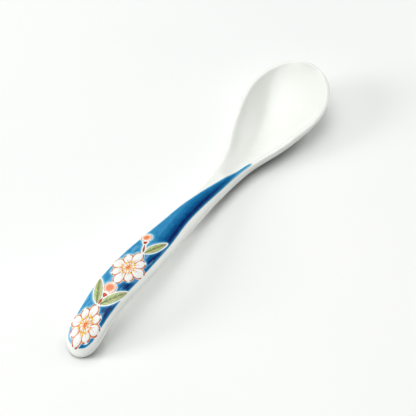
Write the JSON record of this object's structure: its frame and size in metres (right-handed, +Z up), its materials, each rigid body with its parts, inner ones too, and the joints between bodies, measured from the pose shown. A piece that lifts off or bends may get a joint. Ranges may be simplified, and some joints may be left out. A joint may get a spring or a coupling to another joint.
{
  "type": "teaspoon",
  "caption": "Porcelain teaspoon with an oval bowl, slim neck and turned-down handle, white glaze and raised painted enamels.",
  "frame": {"origin": "middle of the length and of the width, on the table that the spoon rests on", "axes": "+X from the handle to the bowl, +Y to the left seen from the handle, +Z up out of the bowl"},
  "size_m": [0.135, 0.0282, 0.0134],
  "materials": {
    "porcelain": "bare fired porcelain, fine matt grain",
    "clear_glaze": "clear glossy glaze over white porcelain",
    "enamel_white": "raised white enamel, glossy",
    "enamel_orange": "orange enamel, glossy",
    "enamel_green": "pale green enamel, glossy",
    "enamel_salmon": "salmon enamel, glossy",
    "enamel_red": "iron-red enamel, glossy",
    "enamel_rust": "rust-red enamel, glossy",
    "enamel_blue": "blue enamel, glossy, darker where it pools"
  },
  "bodies": {
    "root": {"berry_1": "enamel_salmon", "berry_2": "enamel_salmon", "blue_band": "enamel_blue", "blue_ground_1": "enamel_blue", "blue_ground_2": "enamel_blue", "blue_ground_3": "enamel_blue", "blue_ground_4": "enamel_blue", "blue_ground_5": "enamel_blue", "blue_ground_6": "enamel_blue", "blue_ground_7": "enamel_blue", "calyx_1": "enamel_red", "calyx_2": "enamel_red", "clear_glaze": "clear_glaze", "leaf_1": "enamel_green", "leaf_2": "enamel_green", "leaf_3": "enamel_green", "porcelain_body": "porcelain", "rosette_a_centre": "enamel_orange", "rosette_a_petal_1": "enamel_white", "rosette_a_petal_2": "enamel_white", "rosette_a_petal_3": "enamel_white", "rosette_a_petal_4": "enamel_white", "rosette_a_petal_5": "enamel_white", "rosette_a_petal_6": "enamel_white", "rosette_a_petal_7": "enamel_white", "rosette_a_petal_8": "enamel_white", "rosette_b_centre": "enamel_orange", "rosette_b_petal_1": "enamel_white", "rosette_b_petal_2": "enamel_white", "rosette_b_petal_3": "enamel_white", "rosette_b_petal_4": "enamel_white", "rosette_b_petal_5": "enamel_white", "rosette_b_petal_6": "enamel_white", "rosette_b_petal_7": "enamel_white", "rosette_b_petal_8": "enamel_white", "stalk_1": "enamel_rust", "stalk_2": "enamel_rust"}
  },
  "joints": []
}
